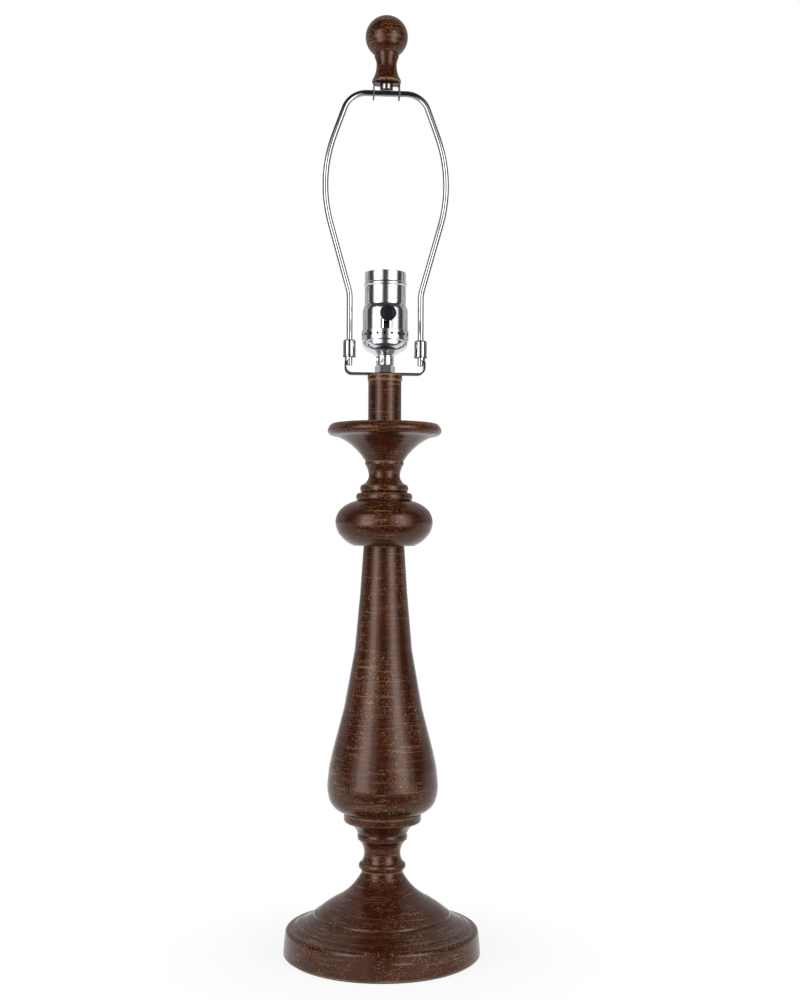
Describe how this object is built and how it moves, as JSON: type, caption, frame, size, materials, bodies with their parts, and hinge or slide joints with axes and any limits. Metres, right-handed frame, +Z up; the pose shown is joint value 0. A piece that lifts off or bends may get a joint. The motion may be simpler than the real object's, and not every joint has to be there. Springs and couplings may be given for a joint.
{
  "type": "candlestick lamp",
  "caption": "Table lamp with a turned candlestick column, a bulb socket with a turn knob, and a lift-off harp for a shade under a ball finial.",
  "frame": {"origin": "middle of the foot's underside, on the table", "axes": "+Z up the column, the harp spreads along X, the turn knob points along -Y and the cord leaves along +Y"},
  "size_m": [0.1584, 0.1584, 0.7642],
  "materials": {
    "walnut_paint": "dark brown distressed paint under satin lacquer",
    "nickel_plate": "bright nickel plate",
    "zinc_steel": "zinc plated",
    "spring_brass": "plain rolled brass",
    "screw_shell_aluminium": "rolled aluminium",
    "black_moulding": "moulded black plastic",
    "liner_board": "pressed fibre board",
    "cast_weight": "as cast",
    "green_felt": "pressed felt"
  },
  "bodies": {
    "lamp_column": {"base_felt": "green_felt", "base": "walnut_paint", "base_weight": "cast_weight", "cord_bushing": "black_moulding", "center_pipe": "zinc_steel", "bottom_washer": "zinc_steel", "bottom_nut": "zinc_steel", "column_spool": "walnut_paint", "column_vase": "walnut_paint", "column_knop": "walnut_paint", "candle_pan": "walnut_paint", "candle_tube": "walnut_paint", "tube_cap": "walnut_paint", "harp_saddle": "nickel_plate", "saddle_nut": "nickel_plate", "socket_cap": "nickel_plate", "cap_set_screw": "nickel_plate", "socket_shell": "nickel_plate", "shell_liner": "liner_board", "socket_interior": "black_moulding", "terminal_screws": "spring_brass", "screw_shell": "screw_shell_aluminium", "centre_contact": "spring_brass"},
    "switch_key": {"key_rotor": "black_moulding", "turn_knob": "black_moulding"},
    "harp": {"harp_wire": "nickel_plate", "harp_top_bracket": "nickel_plate", "finial_stud": "zinc_steel"},
    "left_sleeve": {"ferrule_left": "nickel_plate"},
    "right_sleeve": {"ferrule_right": "nickel_plate"},
    "finial_ball": {"finial": "walnut_paint", "finial_insert": "spring_brass"}
  },
  "joints": [
    {"name": "knob_turn", "type": "hinge", "parent": "lamp_column", "child": "switch_key", "pos_m": [0, 0, 0.5142], "axis": [0, -1, 0], "continuous": true},
    {"name": "harp_lift", "type": "slide", "parent": "lamp_column", "child": "harp", "axis": [0, 0, 1], "range_m": [0, 0.03]},
    {"name": "ferrule_left_slide", "type": "slide", "parent": "harp", "child": "left_sleeve", "axis": [0, 0, 1], "range_m": [0, 0.03]},
    {"name": "ferrule_right_slide", "type": "slide", "parent": "harp", "child": "right_sleeve", "axis": [0, 0, 1], "range_m": [0, 0.03]},
    {"name": "finial_turn", "type": "hinge", "parent": "harp", "child": "finial_ball", "pos_m": [0, 0, 0.718], "axis": [0, 0, 1], "continuous": true}
  ]
}
